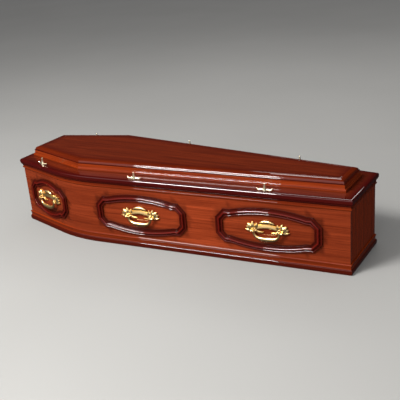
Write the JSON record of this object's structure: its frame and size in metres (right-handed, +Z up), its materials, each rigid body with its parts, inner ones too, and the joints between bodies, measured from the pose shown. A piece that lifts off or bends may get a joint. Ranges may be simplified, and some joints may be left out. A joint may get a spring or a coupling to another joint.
{
  "type": "wooden coffin",
  "caption": "Shouldered wooden coffin with a moulded raised lid, framed side panels, swinging brass bail handles and ornamental lid screws, closed and standing on its base.",
  "frame": {"origin": "on the floor, under the middle of the length and width", "axes": "+X along the length towards the foot end, +Y towards the left side of the person inside, +Z up"},
  "size_m": [1.906, 0.6262, 0.414],
  "materials": {
    "polished_side": "gloss lacquer over mahogany stain",
    "polished_end": "gloss lacquer over mahogany stain",
    "polished_lid": "gloss lacquer over mahogany stain",
    "dark_mouldings": "gloss lacquer over dark stain",
    "bare_board": "unfinished board",
    "brass_handles": "polished cast brass, clear lacquered",
    "brass_screws": "polished pale brass, clear lacquered"
  },
  "bodies": {
    "coffin": {"base_board": "bare_board", "side_right": "polished_side", "side_left": "polished_side", "head_end": "polished_end", "foot_end": "polished_end", "base_mould_right": "dark_mouldings", "base_mould_left": "dark_mouldings", "base_mould_head": "dark_mouldings", "base_mould_foot": "dark_mouldings", "top_mould_right": "dark_mouldings", "top_mould_left": "dark_mouldings", "top_mould_head": "dark_mouldings", "top_mould_foot": "dark_mouldings", "panel_frame_right_head": "dark_mouldings", "panel_frame_right_middle": "dark_mouldings", "panel_frame_right_foot": "dark_mouldings", "panel_frame_left_head": "dark_mouldings", "panel_frame_left_middle": "dark_mouldings", "panel_frame_left_foot": "dark_mouldings", "lid_board": "polished_lid", "raised_mould_right_head": "dark_mouldings", "raised_mould_right_foot": "dark_mouldings", "raised_mould_left_head": "dark_mouldings", "raised_mould_left_foot": "dark_mouldings", "raised_mould_head": "dark_mouldings", "raised_mould_foot": "dark_mouldings", "top_panel": "polished_lid", "lid_screw_right_head": "brass_screws", "handle_plate_right_head": "brass_handles", "lid_screw_right_middle": "brass_screws", "handle_plate_right_middle": "brass_handles", "lid_screw_right_foot": "brass_screws", "handle_plate_right_foot": "brass_handles", "lid_screw_left_head": "brass_screws", "handle_plate_left_head": "brass_handles", "lid_screw_left_middle": "brass_screws", "handle_plate_left_middle": "brass_handles", "lid_screw_left_foot": "brass_screws", "handle_plate_left_foot": "brass_handles"},
    "right_head_bail": {"handle_bail_right_head": "brass_handles"},
    "right_middle_bail": {"handle_bail_right_middle": "brass_handles"},
    "right_foot_bail": {"handle_bail_right_foot": "brass_handles"},
    "left_head_bail": {"handle_bail_left_head": "brass_handles"},
    "left_middle_bail": {"handle_bail_left_middle": "brass_handles"},
    "left_foot_bail": {"handle_bail_left_foot": "brass_handles"}
  },
  "joints": [
    {"name": "right_head_bail_swing", "type": "hinge", "parent": "coffin", "child": "right_head_bail", "pos_m": [-0.73152, -0.26528, 0.168], "axis": [-0.9638, 0.2665, 0], "range_deg": [0, 92]},
    {"name": "right_middle_bail_swing", "type": "hinge", "parent": "coffin", "child": "right_middle_bail", "pos_m": [-0.10422, -0.28846, 0.168], "axis": [-0.9954, -0.0957, 0], "range_deg": [0, 92]},
    {"name": "right_foot_bail_swing", "type": "hinge", "parent": "coffin", "child": "right_foot_bail", "pos_m": [0.56072, -0.22454, 0.168], "axis": [-0.9954, -0.0957, 0], "range_deg": [0, 92]},
    {"name": "left_head_bail_swing", "type": "hinge", "parent": "coffin", "child": "left_head_bail", "pos_m": [-0.73152, 0.26528, 0.168], "axis": [0.9638, 0.2665, 0], "range_deg": [0, 92]},
    {"name": "left_middle_bail_swing", "type": "hinge", "parent": "coffin", "child": "left_middle_bail", "pos_m": [-0.10422, 0.28846, 0.168], "axis": [0.9954, -0.0957, 0], "range_deg": [0, 92]},
    {"name": "left_foot_bail_swing", "type": "hinge", "parent": "coffin", "child": "left_foot_bail", "pos_m": [0.56072, 0.22454, 0.168], "axis": [0.9954, -0.0957, 0], "range_deg": [0, 92]}
  ]
}
